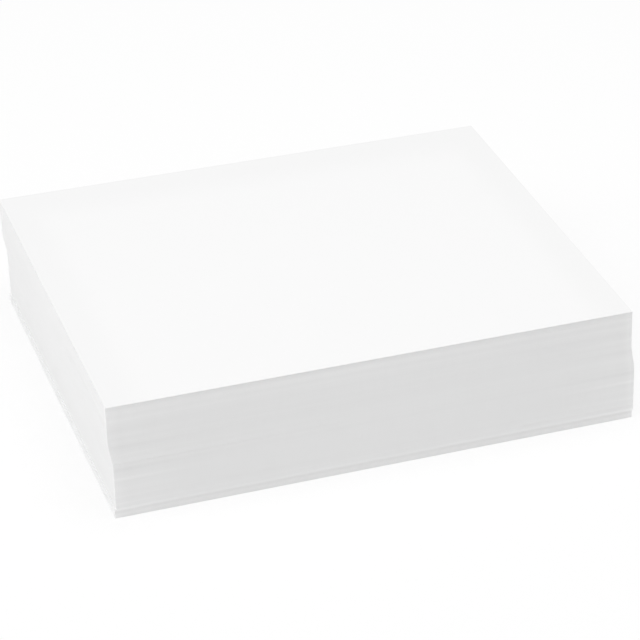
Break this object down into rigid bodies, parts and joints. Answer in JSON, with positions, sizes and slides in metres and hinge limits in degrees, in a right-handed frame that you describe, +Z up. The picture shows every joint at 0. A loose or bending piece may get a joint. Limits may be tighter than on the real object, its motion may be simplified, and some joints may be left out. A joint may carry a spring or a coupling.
{
  "type": "ream of paper",
  "caption": "Unwrapped ream of plain white office paper: a low rectangular pile of loose sheets, squared up by hand, with fine ledges along its edges.",
  "frame": {"origin": "middle of the lowest sheet, on the surface that the pile stands on", "axes": "+X along the sheets' long edge, +Y along their short edge towards the back, +Z up through the pile"},
  "size_m": [0.2816, 0.2228, 0.061],
  "materials": {
    "paper": "matte"
  },
  "bodies": {
    "root": {"sheet_stack": "paper"}
  },
  "joints": []
}
